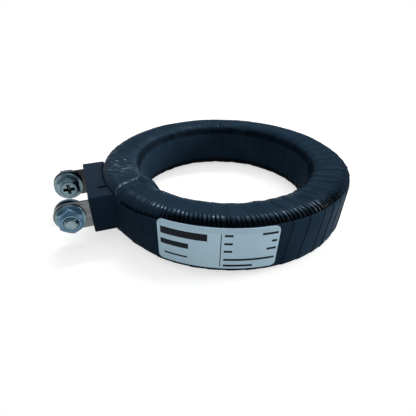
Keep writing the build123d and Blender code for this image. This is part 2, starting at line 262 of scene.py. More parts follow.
def half_section():
    """Upper half of the ring's section, from the window's middle to the side wall's middle.

    Each point is (r, z, normal r, normal z, 1 on the side wall's tape or else 0).
    """
    under_wall_tape = 8      # degrees that the shoulder goes on behind the crease
    shoulder = arc(ARC_OUT, SHOULDER_R, 90, CREASE_ANGLE - under_wall_tape, SHOULDER_ROWS)

    # The cut edge of the wall tape, its roll out to the wall's radius, and the flat wall.
    start = RING_R - WALL_ROLL
    wall = [(start - 0.25, CREASE_Z - 0.10, 0.5, 0.9), (start, CREASE_Z - 0.04, 0.8, 0.6),
            (start + 0.12, CREASE_Z - 0.4, 1.0, 0.2)]
    wall += [(start + WALL_ROLL * share, CREASE_Z - (CREASE_Z - WALL_FLAT_Z) * share, 1.0, 0.2 * (1 - share))
             for share in (0.45, 0.75, 1.0)]
    wall += [(RING_R, z, 1.0, 0.0) for z in np.linspace(WALL_FLAT_Z - 1.5, 0, WALL_ROWS)]
    return np.array([(*p, 0.0) for p in window_and_top() + shoulder] + [(*p, 1.0) for p in wall])


def patch_section():
    """Closed section of the tape over the block's root: rounded down to the side wall."""
    shoulder = arc(ARC_OUT, SHOULDER_R, 90, 0, PATCH_SHOULDER_ROWS)
    wall = [(SHOULDER_OUT_R, z, 1.0, 0.0) for z in np.linspace(ARC_OUT[1], 0, PATCH_WALL_ROWS)]
    half = np.array(window_and_top(PATCH_FINE) + shoulder + wall)
    return np.vstack([half, half[-2:0:-1] * np.array([1, -1, 1, -1])])


# What changes along the section: (place, offset from it along the section, value), and straight
# lines between these points.
RIDGE_DEPTH = [("window", 0, 0.05), ("inner", 0, 0.06), ("top", 0, 0.05), ("top", 4, 0.06),
               ("shoulder", -2, 0.08), ("shoulder", 0, 0.16), ("shoulder", 1.4, 0.28),
               ("crease", 0, 0.36), ("wall", 0, 0.0)]
GAP_DEPTH = [("window", 0, 0.0), ("shoulder", -0.6, 0.0), ("shoulder", 0.9, 0.18),
             ("shoulder", 2.4, 0.55), ("crease", 0, 0.75), ("wall", 0, 0.0)]
# The next table is painted shade: a dark band under the window's edge, and under the shoulder down to the
# crease.
DARKNESS = [("window", 0, 0.0), ("inner", 0.2, 0.0), ("inner", 1.3, 0.85), ("inner", 3.9, 0.9),
            ("inner", 5.0, 0.0), ("shoulder", 1.5, 0.0), ("shoulder", 2.7, 0.8), ("crease", 0, 0.9),
            ("wall", 0, 0.0)]
# The tape's gloss over the ridges, which also paints a highlight there.
SHINE_WITH_PAINTED_HIGHLIGHT = [("window", 0, 0.0), ("inner", 4.6, 0.0), ("inner", 6.6, 0.5), ("top", 0.4, 0.0),
           ("shoulder", -0.5, 0.0), ("shoulder", 0.6, 1.0), ("shoulder", 2.4, 1.0),
           ("shoulder", 3.3, 0.2), ("crease", 0, 0.0), ("wall", 0, 0.0)]
LAP_HEIGHT = [("window", 0, 0.10), ("top", 0, 0.14), ("shoulder", 0, 0.05), ("crease", 0, 0.05),
              ("wall", 0, TAPE_STEP)]

# Degrees that the laps lean, on the upper and the lower half of the section, and on the wall.
LEAN_UPPER = [("window", 0, -0.4), ("top", 0, 0.0), ("shoulder", 0, 2.3), ("crease", 0, 3.1)]
LEAN_LOWER = [("window", 0, -0.4), ("top", 0, -0.8), ("shoulder", 0, 1.0), ("crease", 0, 1.04)]
WALL_LEAN = 2.07             # at its middle
WALL_EDGE_LEAN = 1.03        # more at its upper edge than at its middle


def along(half, table):
    """Reads one of the tables above at each point of the half section."""
    steps = np.hypot(*np.diff(half[:, :2], axis=0).T)
    length = np.concatenate([[0], np.cumsum(steps)])
    places = {"window": 0.0, "inner": ARC_IN[1], "wall": length[-1]}
    places["top"] = places["inner"] + WINDOW_EDGE_R * math.pi / 2
    places["shoulder"] = places["top"] + ARC_OUT[0] - ARC_IN[0]
    places["crease"] = places["shoulder"] + SHOULDER_R * math.radians(90 - CREASE_ANGLE)
    xs, ys = zip(*[(places[place] + offset, value) for place, offset, value in table])
    return np.interp(length, xs, ys)


# What each row of the section holds.
STATION = ("r", "z", "normal_r", "normal_z", "on_wall", "ridge", "gap", "hollow", "stretch", "lap", "lean")


def whole_section():
    """The closed section: up from the window's middle, over the top and back below.

    Each row is a station, with the values that STATION names.
    """
    half = half_section()
    on_wall = half[:, 4]
    on_tape = 1 - on_wall
    values = [along(half, table) * on_tape for table in (RIDGE_DEPTH, GAP_DEPTH, DARKNESS, SHINE_WITH_PAINTED_HIGHLIGHT)]
    lap = along(half, LAP_HEIGHT) * on_tape + TAPE_STEP * on_wall
    wall_turn = WALL_EDGE_LEAN * half[:, 1] / CREASE_Z
    upper_lean = along(half, LEAN_UPPER) * on_tape + (WALL_LEAN + wall_turn) * on_wall
    lower_lean = along(half, LEAN_LOWER) * on_tape + (WALL_LEAN - wall_turn) * on_wall
    upper = np.column_stack([half, *values, lap, upper_lean])
    lower = np.column_stack([half, *values, lap, lower_lean])
    lower[:, [1, 3]] *= -1
    return np.vstack([upper, lower[-2:0:-1]])


# =============================== the wrapped ring ===============================

# What each column round the ring holds; the phases run from 0 to 1 across a ridge or a lap.
COLUMN = ("azimuth", "ridge_phase", "lap_phase", "ridge_no", "lap_no")


def lap_columns():
    """The ring's columns, each with the values that COLUMN names, closest together at the grooves."""
    lap_jitter = FIRST_LAP + rng.normal(0, 0.35, LAPS)
    lap_jitter[UNEVEN_LAPS] = FIRST_LAP + UNEVEN_BY
    ridge_jitter = rng.normal(0, 0.08, RIDGES)
    pitch = 360 / LAPS
    columns = []
    for lap in range(LAPS):
        start = lap * pitch + lap_jitter[lap]
        end = (lap + 1) * pitch + lap_jitter[(lap + 1) % LAPS]
        phases = [0.0]
        for k in range(RIDGES_A_LAP):
            groove = k + 0.5 + ridge_jitter[lap * RIDGES_A_LAP + k]
            phases += [(groove + beside) / RIDGES_A_LAP for beside in NEAR_GROOVE]
        phases.append(LAP_END)
        for phase in phases:
            turn = phase * RIDGES_A_LAP
            k = min(int(turn), RIDGES_A_LAP - 1)
            ridge_no = lap * RIDGES_A_LAP + k
            inside = 0 < phase < LAP_EDGE
            ridge_phase = turn - k - ridge_jitter[ridge_no] if inside else turn % 1.0
            columns.append((start + (end - start) * phase, ridge_phase, phase, ridge_no, lap))
    return np.array(columns)


def lower_crease(g):
    """Lets the crease run lower on the block's front side, with the shoulder drawn down to it."""
    low = between(g.azimuth, *LOW_CREASE)
    on_arc = (g.z > CREASE_Z - 1.5) & (g.r > ARC_OUT[0]) & (g.on_wall == 0)
    angle = math.pi / 2 - np.arctan2(g.z - ARC_OUT[1], g.r - ARC_OUT[0])
    angle = math.pi / 2 - angle * (1 + CREASE_PULL * low)
    on_upper_wall = (g.on_wall > 0) & (g.z > WALL_STILL_Z)
    wall_r = RING_R - (RING_R - g.r) * (1 - low)
    wall_z = g.z - CREASE_DROP * low * (g.z - WALL_STILL_Z) / (CREASE_Z - WALL_STILL_Z)
    g.r, g.z, g.normal_r, g.normal_z = [
        np.where(on_arc, on_shoulder, np.where(on_upper_wall, on_wall, before))
        for on_shoulder, on_wall, before in (
            (ARC_OUT[0] + SHOULDER_R * np.cos(angle), wall_r, g.r),
            (ARC_OUT[1] + SHOULDER_R * np.sin(angle), wall_z, g.z),
            (np.cos(angle), g.normal_r, g.normal_r),
            (np.sin(angle), g.normal_z, g.normal_z))]


def ring_grid():
    """The ring's plain form, with the values of each station and column and what follows from them."""
    g = SimpleNamespace(**{name: row[None, :] for name, row in zip(STATION, whole_section().T)})
    for name, column in zip(COLUMN, lap_columns().T):
        setattr(g, name, column[:, None])
    g.tightness = np.clip(1 + rng.normal(0, 0.22, RIDGES), 0.45, 1.5)[g.ridge_no.astype(int)]
    g.lap_size = np.clip(1 + rng.normal(0, 0.25, LAPS), 0.5, 1.5)[g.lap_no.astype(int)]
    # Near the crease, where the painted shade is deep; beside the block it gets more painted shade.
    g.in_crease = fade(np.abs(g.z), CREASE_Z + 1.0, CREASE_Z + 0.2) * (g.hollow > 0.5)

    lower_crease(g)
    angle = np.radians(g.azimuth + g.lean)
    g.base, g.normal = around(angle, g.r, g.z), around(angle, g.normal_r, g.normal_z)
    g.on_top = np.abs(g.normal_z) > 0.9

    # Beside the block, where free is 0, the tape is smoother, and its painted shade lies in the crease
    # instead of under the shoulder.
    turn = (g.azimuth + 180) % 360 - 180
    g.free = fade(turn, 36, 46) + fade(turn, -30, -45)
    g.strength = g.tightness * (1 - 0.3 * between(g.azimuth, *SLACK))
    g.ridge = g.ridge * (1 + 1.5 * between(g.azimuth, *RIDGED_TOP) * g.on_top)
    g.ridge = g.ridge * (1 - 0.6 * between(g.azimuth, *SMOOTH_TOP) * g.on_top)
    g.from_groove = np.abs(g.ridge_phase - 0.5)
    g.in_gap = fade(g.from_groove, 0.24, 0.09) * (0.15 + 0.85 * g.free)
    return g


def bunched(points):
    """How far the tape is bunched up over the window's edge, on the block's front side."""
    turn, out, up = polar(points)
    return BUNCH_H * between(turn, *BUNCHED) * fade(out, WINDOW_R + 6, WINDOW_R + 2) * fade(up, 4, 8)


def settled(points):
    """How far the lower shoulder has sunk next to the block, on its front side."""
    turn, out, up = polar(points)
    return SINK_H * between(turn, *SETTLED) * fade(out, 52, 58) * fade(up, -2, -9)


def ridge_depth(g):
    """Depth of the sharp grooves between the rounded ridges, and of the gaps at their bottoms."""
    uneven = 0.85 + 0.25 * waves(g.base, 14, 5, seed=3) + 0.18 * waves(g.base, 2.2, 6, seed=4)
    groove = 1 - np.sqrt(1 - np.clip(1 - 2 * g.from_groove, 0, 1) ** 2.2)
    return (g.ridge * groove + g.gap * g.in_gap) * g.strength * np.clip(uneven, 0.3, 1.4)


def lap_height(g):
    """Each turn of tape laps over the one before: a step down at the edge, then a slow rise."""
    return g.lap * g.lap_size * ((1 - g.lap_phase) * g.on_wall - g.lap_phase * (1 - g.on_wall))


def lumps(g):
    """Gathers where the tape turns over the window's edge, and slow lumps everywhere."""
    on_tape = 1 - g.on_wall
    gather = fade(g.r, ARC_IN[0] + 1.5, WINDOW_R + 1.5) * fade(np.abs(g.z), 4, 9)
    height = 0.16 * gather * waves(g.base, 2.6, 7, seed=8) + 0.05 * waves(g.base, 6, 6, seed=9) * on_tape
    height = height - 0.10 * on_tape * (1 + 0.5 * waves(g.base, 12, 5, seed=10))
    return height + 0.02 * waves(g.base, 9, 4, seed=11) * g.on_wall


def ring_painted_shade(g):
    """Painted shade on the tape, from 0 to 1: under the window's edge and the shoulder, in the crease, at
    laps' edges, in grooves and in gaps.
    """
    in_window = g.hollow * (0.80 + 0.10 * waves(g.base, 3.5, 7, seed=13))
    outside = g.hollow * (0.08 + 0.92 * g.free) * (1 - 0.65 * between(g.azimuth, *PALER_SHADE))
    outside = outside + 0.8 * g.in_crease * (1 - g.free)
    dark = np.where(g.r < ARC_IN[0], in_window, outside)
    at_edge = (g.lap_phase < 0.001) | (g.lap_phase > LAP_EDGE)
    dark = dark + 0.45 * g.on_wall * at_edge * (1 - between(g.azimuth, *UNSHADED_LAP_EDGES))
    lined = between(g.azimuth, *LINED_TOP) * g.on_top * (g.r > ARC_IN[0] + 1)
    dark = dark + 0.55 * lined * fade(g.from_groove, 0.30, 0.08) * np.clip(g.strength - 0.45, 0, 1)
    dark = dark + 0.6 * g.in_gap * g.gap + 0.35 * (g.from_groove < 0.1) * fade(g.ridge, 0.03, 0.07)
    return np.clip(dark, 0, 0.95)


def ring_gloss_and_painted_highlight(g):
    """How far the tape is stretched to a gloss over the crests of the ridges, from 0 to 1; the same value
    paints a pale highlight there.
    """
    tight = sum(between(g.azimuth, *region) for region in SHINIEST)
    gloss_and_painted_highlight = (0.36 + 0.31 * tight) * g.tightness ** 3 * (0.8 + 0.6 * waves(g.base, 1.3, 6, seed=12))
    gloss_and_painted_highlight = gloss_and_painted_highlight * (1 - between(g.azimuth, *DULL))
    short = between(g.azimuth, *SHORT_SHINE)
    gloss_and_painted_highlight = gloss_and_painted_highlight * (1 + 0.4 * short) * (1 - short * fade(np.abs(g.normal_z), 0.97, 0.93))
    return np.clip(g.stretch * fade(g.from_groove, 0.14, 0.42) * gloss_and_painted_highlight, 0, 1)


def wrapped_ring():
    g = ring_grid()
    off = lap_height(g) - ridge_depth(g) + lumps(g) + bunched(g.base) - settled(g.base)
    verts = g.base + g.normal * off[..., None]
    faces = grid_faces(*off.shape, wrap_columns=True, wrap_rows=True)
    ring = make_object("wrapped_ring", verts.reshape(-1, 3), faces, tape_material(), "tape",
                       replaced=["outer_wrap"], smooth_angle=38)
    # Painted shade, and gloss with a painted highlight, for the tape's material.
    set_values(ring, "hollow", ring_painted_shade(g))
    set_values(ring, "stretch", ring_gloss_and_painted_highlight(g))


# =============================== crumpled tape over the block's root ===============================

def pleats(points):
    """Short raised pleats in the crumpled tape, from 0 to 1 high."""
    local = np.random.default_rng(31)
    height = np.zeros(points.shape[:-1])
    for _ in range(PLEATS):
        middle = CRUMPLE_AT + np.clip(local.normal(size=3), -1.6, 1.6) * np.array([3.8, 4.4, 0.0])
        turn = math.radians(local.normal(-12, 14))
        half_long, half_wide = local.uniform(1.0, 2.0), local.uniform(0.55, 0.85)
        x, y = points[..., 0] - middle[0], points[..., 1] - middle[1]
        u = (x * math.cos(turn) + y * math.sin(turn)) / half_long
        v = (y * math.cos(turn) - x * math.sin(turn)) / half_wide
        bump = np.clip(1 - u ** 2, 0, 1) * np.cos(np.clip(v, -1, 1) * math.pi / 2) ** 2
        height = np.maximum(height, bump * local.uniform(0.45, 1.0))
    return height


def root_patch():
    r, z, normal_r, normal_z = patch_section().T[:, None, :]
    side = np.linspace(-1, 1, PATCH_COLUMNS)[:, None]

    # Its two edges are uneven, and spread a little at the wall.
    edge = PATCH_HALF + 0.5 * np.sin(z * 0.9 + 1) + 0.35 * np.sin(r * 1.7)
    azimuth = side * (edge + 1.2 * fade(r, RING_R - 4, RING_R))
    angle = np.radians(azimuth)
    base, normal = around(angle, r, z), around(angle, normal_r, normal_z)

    # Folds and pleats, a seam on the block's front side, and a swelling over the block.
    crumple = fade(np.linalg.norm(base - CRUMPLE_AT, axis=-1), 11, 5)
    long_folds = creases(base * np.array([0.5, 1.5, 1.0]), 3.6, seed=1, sharp=4)
    small_folds = creases(base * np.array([0.6, 1.4, 1.0]), 1.9, seed=2, sharp=3)
    from_seam = np.abs(azimuth - SEAM_AT - SEAM_SLANT * (r - SEAM_R))
    seam = fade(from_seam, 1.3, 0.4) * fade(r, WINDOW_R + 3, ARC_IN[0])
    raised = pleats(base) * (z > ARC_OUT[1])
    off = (0.12 + 0.15 * crumple) * long_folds + 0.10 * crumple * small_folds + 0.34 * raised - 0.02
    off = off + 0.3 * seam * small_folds + 0.05 * waves(base, 5, 6, seed=22)
    off = off + bunched(base) - settled(base)
    off = off + 0.5 * fade(np.abs(azimuth), 18, 13) * fade(r, 55, 59)

    # Flat on the side wall, with a raised border on the shoulders and a tucked rim.
    on_wall = fade(np.abs(z), ARC_OUT[1] + 2.0, ARC_OUT[1]) * (r > RING_R - 2)
    flat = PATCH_OUT - 0.02 * waves(base, 5, 4, seed=23) ** 2
    rim = fade(np.abs(side), 0.955, 1.0)
    border = fade(np.abs(side), 0.90, 0.95) * (1 - rim) * (1 - on_wall)
    off = off * (1 - on_wall) + flat * on_wall + 0.16 * border - (0.55 + 0.3 * on_wall) * rim
    outer, inner = [base + normal * height[..., None] for height in (off, off - PATCH_T)]
    patch = make_object("root_patch", *closed_shell(outer, inner), tape_material(), "tape")

    # Gloss with a painted highlight on the pleats, folds and seam, and painted shade on the window's edge on
    # the back side.
    gloss_and_painted_highlight = 0.02 + 2.4 * raised ** 2 + 0.25 * crumple * long_folds + seam * (0.35 + 0.65 * small_folds)
    gloss_and_painted_highlight = np.clip(gloss_and_painted_highlight, 0, 1) * (1 - on_wall)
    over_edge = np.degrees(np.arctan2(np.abs(z) - ARC_IN[1], ARC_IN[0] - r))
    dark = 0.75 * between(over_edge, 2, 13, 40, 52) * fade(azimuth, 4, -10)
    set_values(patch, "stretch", np.stack([gloss_and_painted_highlight, gloss_and_painted_highlight]))
    set_values(patch, "hollow", np.stack([dark, dark]))


# =============================== node trees ===============================

class Tree:
    """A node tree, with short calls for what the looks here need."""

    def __init__(self, tree):
        self.tree = tree

    def feed(self, node, socket, source):
        """Links an output to a node's input, or sets the input to a number or a colour."""
        if isinstance(source, bpy.types.NodeSocket):
            self.tree.links.new(source, node.inputs[socket])
        else:
            node.inputs[socket].default_value = (*source, 1) if isinstance(source, tuple) else source

    def add(self, kind, inputs=(), **properties):
        """Adds a node; inputs are pairs of a socket and what feeds it."""
        node = self.tree.nodes.new(kind)
        for key, value in properties.items():
            setattr(node, key, value)
        for socket, source in inputs:
            self.feed(node, socket, source)
        return node

    def math(self, operation, a, b=0.0):
        return self.add("ShaderNodeMath", enumerate((a, b)), operation=operation).outputs[0]

    def combine(self, operation, first, *others):
        """Applies an operation of two values to any number of them, one after the other."""
        for other in others:
            first = self.math(operation, first, other)
        return first

    def product(self, *factors):
        return self.combine("MULTIPLY", *factors)

    def strongest(self, *values):
        return self.combine("MAXIMUM", *values)

    def map(self, source, low, high, start, end, interpolation="LINEAR"):
        """Maps start..end to low..high."""
        inputs = {"Value": source, "From Min": start, "From Max": end, "To Min": low, "To Max": high}
        node = self.add("ShaderNodeMapRange", inputs.items(), interpolation_type=interpolation)
        return node.outputs["Result"]

    def mix(self, share, low, high):
        """Mixes two colours by a share from 0 to 1."""
        return self.add("ShaderNodeMix", ((0, share), (6, low), (7, high)), data_type="RGBA").outputs[2]

    def mix_numbers(self, share, low, high):
        """The same for two numbers."""
        return self.add("ShaderNodeMix", ((0, share), (2, low), (3, high)), data_type="FLOAT").outputs[0]

    def split(self, vector):
        """The X, Y and Z of a vector."""
        return self.add("ShaderNodeSeparateXYZ", [(0, vector)]).outputs


class Looks(Tree):
    """The nodes of an object's material; their lengths are given in millimetres.

    The values given at first are plain ones, and nodes may take their place.
    """

    def __init__(self, name, color, roughness, metallic=0.0, specular=0.5, tint=(1.0, 1.0, 1.0)):
        self.material = bpy.data.materials.new(name)
        self.material.use_nodes = True
        super().__init__(self.material.node_tree)
        self.shader = self.tree.nodes["Principled BSDF"]
        self.set("Base Color", color)
        self.set("Roughness", roughness)
        self.set("Metallic", metallic)
        self.set("Specular IOR Level", specular)
        self.set("Specular Tint", tint)
        self.where = self.add("ShaderNodeTexCoord").outputs["Object"]

    def set(self, socket, source):
        """Sets a socket of the shader, or links it."""
        self.feed(self.shader, socket, source)

    def noise(self, size, detail, stretch=None):
        """Noise from 0 to 1 whose features are about this size; stretch scales the axes."""
        place = self.where
        if stretch:
            mapping = self.add("ShaderNodeMapping", [("Vector", place)])
            mapping.inputs["Scale"].default_value = stretch
            place = mapping.outputs["Vector"]
        inputs = {"Vector": place, "Scale": 1 / (size * MM), "Detail": detail}
        return self.add("ShaderNodeTexNoise", inputs.items()).outputs["Fac"]

    def tones(self, noise, low, high):
        """Turns a noise into a colour, or a number, from low to high."""
        start, end = 0.3, 0.7
        if not isinstance(low, tuple):
            return self.map(noise, low, high, start, end)
        node = self.add("ShaderNodeValToRGB", [("Fac", noise)])
        for element, position, color in zip(node.color_ramp.elements, (start, end), (low, high)):
            element.position = position
            element.color = (*color, 1)
        return node.outputs["Color"]

    def step(self, source, start, end):
        """Rises from 0 at start to 1 at end; start may be the larger."""
        if start < end:
            return self.map(source, 0.0, 1.0, start, end)
        return self.map(source, 1.0, 0.0, end, start)

    def past(self, distance, start, end):
        """Rises from 0 to 1 as a distance goes from start to end, in millimetres."""
        return self.step(distance, start * MM, end * MM)

    def near(self, distance, middle, half_width):
        """1 where a distance is close to the middle, 0 from half_width off it, in millimetres."""
        away = self.math("ABSOLUTE", self.math("SUBTRACT", distance, middle * MM))
        return self.past(away, half_width, half_width * 0.5)

    def around_screw(self):
        """Distance from the terminal screws' axis, and along it from the part's middle."""
        place = self.split(self.where)
        x, z = [self.math("SUBTRACT", place[k], SCREW_AXIS[k] * MM) for k in (0, 2)]
        square = self.math("ADD", self.math("MULTIPLY", x, x), self.math("MULTIPLY", z, z))
        return self.math("SQRT", square), self.math("ABSOLUTE", place[1])

    def value(self, name):
        """The number that the mesh stores for each vertex; 0 where it stores none."""
        return self.add("ShaderNodeAttribute", attribute_name=name).outputs["Fac"]

    def bump(self, *layers):
        """Layers of (source, height), one over the other."""
        inputs = []
        for source, height in layers:
            inputs += [("Strength", 1.0), ("Distance", height * MM), ("Height", source)]
            normal = self.add("ShaderNodeBump", inputs).outputs["Normal"]
            inputs = [("Normal", normal)]
        self.set("Normal", normal)


# =============================== materials ===============================

DARKEST = (0.0010, 0.0016, 0.0024)   # painted shade in the hollows, crease and gaps of black tape, and along the block's lead slit


@cache
def tape_material():
    """Black tape, glossy where it is stretched; painted shade darkens its hollows, crease, grooves and gaps,
    and a painted highlight pales the stretched crests.
    """
    n = Looks("wrapping_tape", (0.010, 0.020, 0.034), 0.36, specular=0.04, tint=(0.40, 0.70, 1.0))
    # The first value is painted shade; the second is gloss together with a painted highlight.
    hollow, stretch = n.value("hollow"), n.value("stretch")
    tone = n.tones(n.noise(12, 4), (0.0105, 0.0233, 0.0400), (0.0148, 0.0308, 0.0497))
    # Painted highlight: the base colour turns pale where the gloss is strongest.
    painted_highlight = n.product(n.math("POWER", stretch, 4.0), 0.9)
    tone = n.mix(painted_highlight, tone, (0.190, 0.260, 0.320))
    # Painted shade, down to near black.
    n.set("Base Color", n.mix(hollow, tone, DARKEST))
    n.set("Roughness", n.mix_numbers(stretch, n.tones(n.noise(6, 4), 0.30, 0.42), 0.18))
    n.set("Specular IOR Level", n.mix_numbers(stretch, 0.002, 0.50))
    n.bump((n.noise(1.6, 3), 0.06), (n.noise(0.35, 2), 0.02))
    return n.material


@cache
def block_material():
    """Black plastic, with painted shade along the lead slit in the block's top."""
    n = Looks("moulded_block", (0.012, 0.021, 0.036), 0.50, specular=0.04, tint=(0.60, 0.80, 1.0))
    tone = n.tones(n.noise(10, 5), (0.0075, 0.0165, 0.031), (0.0105, 0.0220, 0.040))
    x, y, z = n.split(n.where)
    # Painted shade along the lead slit.
    slit_shade = n.product(n.near(y, SLIT_Y, 1.5), n.past(x, SLIT_END_X, SLIT_END_X - 0.5),
                      n.past(z, BLOCK_TOP - 1.5, BLOCK_TOP - 1.0))
    n.set("Base Color", n.mix(slit_shade, tone, DARKEST))
    n.set("Roughness", n.tones(n.noise(4, 5), 0.40, 0.55))
    n.bump((n.noise(0.45, 3), 0.018))
    return n.material


@cache
def strap_material():
    """Tinned strap with a drawn grain; painted shade darkens the rear one."""
    n = Looks("tinned_strap", (0.16, 0.17, 0.18), 0.38, metallic=1.0)
    grain = n.noise(1.2, 3, stretch=(0.06, 1, 1))
    tone = n.tones(grain, (0.115, 0.125, 0.130), (0.205, 0.215, 0.220))
    # Painted shade on the rear strap.
    rear_shade = n.past(n.split(n.where)["Y"], 1.0, -1.0)
    n.set("Base Color", n.mix(n.product(rear_shade, 0.75), tone, (0.045, 0.050, 0.052)))
    n.set("Roughness", n.tones(n.noise(3, 4), 0.28, 0.42))
    n.bump((grain, 0.01))
    return n.material


def plated(name, plain, tones, plain_roughness, roughness):
    """The nodes and the tone of an uneven zinc plate, from pairs of tones and of roughness."""
    n = Looks(name, plain, plain_roughness, metallic=1.0)
    tone = n.tones(n.noise(4, 5), *tones)
    n.set("Base Color", tone)
    n.set("Roughness", n.tones(n.noise(1.5, 4), *roughness))
    n.bump((n.noise(0.9, 3), 0.01))
    return n, tone


def white_plated(name):
    return plated(name, (0.42, 0.55, 0.62), [(0.120, 0.190, 0.215), (0.230, 0.320, 0.350)],
                  0.26, (0.20, 0.34))


@cache
def zinc_material():
    n, _ = white_plated("zinc_plate")
    return n.material


@cache
def screw_material():
    """Zinc plate, with painted shade in the cross recess, round the head's face and between the turns at the
    tip.
    """
    n, tone = white_plated("screw_plate")
    radius, depth = n.around_screw()
    # Painted shade in the recess, at the rim of the head's face and between the thread's turns.
    recess = n.product(n.past(depth, HEAD_FACE + 0.10, HEAD_FACE + 0.35),
                       n.past(depth, HEAD_FACE + 2.5, HEAD_FACE + 2.4), n.past(radius, 3.0, 2.9), 0.85)
    rim = n.product(n.near(radius, 3.8, 0.16), n.past(depth, HEAD_FACE + 0.4, HEAD_FACE + 0.2))
    turns = n.math("SINE", n.product(depth, 2 * math.pi / (0.45 * MM)))
    thread = n.product(n.step(turns, -0.2, 0.6), n.past(depth, SCREW_TIP - 2.2, SCREW_TIP - 2.0),
                       n.past(radius, 2.1, 2.3))
    dark = n.product(n.strongest(recess, rim, thread), 0.9)
    n.set("Base Color", n.mix(dark, tone, (0.006, 0.010, 0.012)))
    return n.material


@cache
def nut_material():
    """Blue zinc plate, with painted shade: a dark line round the flat of the face, and darker chamfers."""
    n, tone = plated("nut_plate", (0.24, 0.40, 0.58), [(0.115, 0.240, 0.380), (0.230, 0.380, 0.510)],
                     0.24, (0.13, 0.24))
    radius, depth = n.around_screw()
    flat_r = 3.8
    # Painted shade on the face's rim and on the chamfers.
    rim = n.product(n.near(radius, 3.9, 0.20), n.past(depth, NUT_FACE - 0.5, NUT_FACE - 0.3), 0.9)
    slope = n.product(n.math("SUBTRACT", radius, flat_r * MM), math.tan(math.radians(30)))
    chamfer = n.product(n.past(n.math("ADD", depth, slope), NUT_FACE - 0.25, NUT_FACE - 0.10),
                        n.past(radius, flat_r, flat_r + 0.1), 0.45)
    n.set("Base Color", n.mix(n.strongest(rim, chamfer), tone, (0.010, 0.020, 0.030)))
    return n.material


@cache
def label_material():
    n = Looks("label_foil", (0.27, 0.36, 0.42), 0.46, metallic=0.85)
    n.set("Base Color", n.tones(n.noise(20, 3), (0.270, 0.382, 0.456), (0.308, 0.420, 0.495)))
    n.bump((n.noise(6, 2), 0.06), (n.noise(0.4, 2), 0.006))
    return n.material


@cache
def ink_material():
    n = Looks("label_ink", (0.012, 0.016, 0.022), 0.5, specular=0.05)
    n.set("Base Color", n.tones(n.noise(1, 3), (0.010, 0.014, 0.020), (0.022, 0.028, 0.036)))
    return n.material


@cache
def insulation_material():
    n = Looks("woven_insulation", (0.62, 0.56, 0.42), 0.8)
    n.set("Base Color", n.tones(n.noise(1.2, 3), (0.55, 0.49, 0.36), (0.68, 0.62, 0.48)))
    n.bump((n.noise(0.6, 2), 0.05))
    return n.material


@cache
def copper_material():
    n = Looks("enamelled_copper", (0.48, 0.15, 0.05), 0.28, metallic=0.9)
    n.set("Base Color", n.tones(n.noise(3, 4), (0.40, 0.11, 0.035), (0.56, 0.19, 0.07)))
    n.bump((n.noise(2, 2), 0.02))
    return n.material


@cache
def steel_material():
    """The edges of the core's wound strip."""
    n = Looks("core_steel", (0.10, 0.105, 0.12), 0.4, metallic=1.0)
    grain = n.noise(0.4, 2, stretch=(1, 1, 0.05))
    n.set("Base Color", n.tones(grain, (0.07, 0.075, 0.085), (0.14, 0.145, 0.16)))
    n.bump((grain, 0.03))
    return n.material


@cache
def nylon_material():
    n = Looks("moulded_nylon", (0.62, 0.60, 0.52), 0.5)
    n.set("Base Color", n.tones(n.noise(10, 3), (0.58, 0.56, 0.48), (0.66, 0.64, 0.56)))
    n.bump((n.noise(0.8, 2), 0.02))
    return n.material


@cache
def sleeve_material():
    n = Looks("varnished_sleeve", (0.45, 0.38, 0.20), 0.5)
    n.set("Base Color", n.tones(n.noise(1.5, 3), (0.38, 0.32, 0.16), (0.52, 0.44, 0.25)))
    n.bump((n.noise(0.6, 2), 0.03))
    return n.material


# =============================== print on the label ===============================

PRINT_T = 0.03
PRINT_SUNK = 0.01            # how far the print reaches into the label's face

# A divider and plain bars, where a rating plate has its printed rows. Each is (from, to) in
# degrees and (from, to) in height, both from the label's middle.
PRINT = [
    (1.4, 1.7, -8.45, 7.45),
    (-21.1, -3.3, 3.45, 6.75), (-21.3, -10.2, -1.55, 0.95), (-19.9, -10.7, -6.15, -5.35),
    (2.7, 5.7, 6.15, 7.15), (2.7, 5.7, 2.35, 3.35), (2.7, 5.7, -1.35, -0.35),
    (15.9, 21.7, 6.45, 7.45), (19.7, 21.7, 2.75, 3.75), (18.1, 21.7, -0.85, 0.15),
    (2.7, 21.5, -5.45, -4.45), (2.7, 13.5, -8.45, -7.45),
]


def wall_strip(az0, az1, z0, z1, radius, thickness):
    """A thin strip bent round the side wall, closed on all sides."""
    columns = max(2, round(az1 - az0) + 1)
    verts, faces = [], []
    for layer in (radius, radius + thickness):
        for a in np.radians(np.linspace(az0, az1, columns)):
            verts += [(layer * math.cos(a), layer * math.sin(a), z) for z in (z0, z1)]
    n = columns * 2
    for a in range(0, n - 2, 2):
        faces += [(n + a, n + a + 2, n + a + 3, n + a + 1), (a, a + 1, a + 3, a + 2),
                  (a, a + 2, n + a + 2, n + a), (a + 1, n + a + 1, n + a + 3, a + 3)]
    faces += [(0, n, n + 1, 1), (n - 2, n - 1, 2 * n - 1, 2 * n - 2)]
    return verts, faces


def label_print():
    verts, faces = [], []
    for az0, az1, z0, z1 in PRINT:
        strip_verts, strip_faces = wall_strip(LABEL_AT + az0, LABEL_AT + az1, LABEL_Z + z0, LABEL_Z + z1,
                                              LABEL_R - PRINT_SUNK, PRINT_T)
        faces += [[i + len(verts) for i in face] for face in strip_faces]
        verts += strip_verts
    make_object("label_print", verts, faces, ink_material(), "label", smooth_angle=30)


# =============================== stage, in metres ===============================

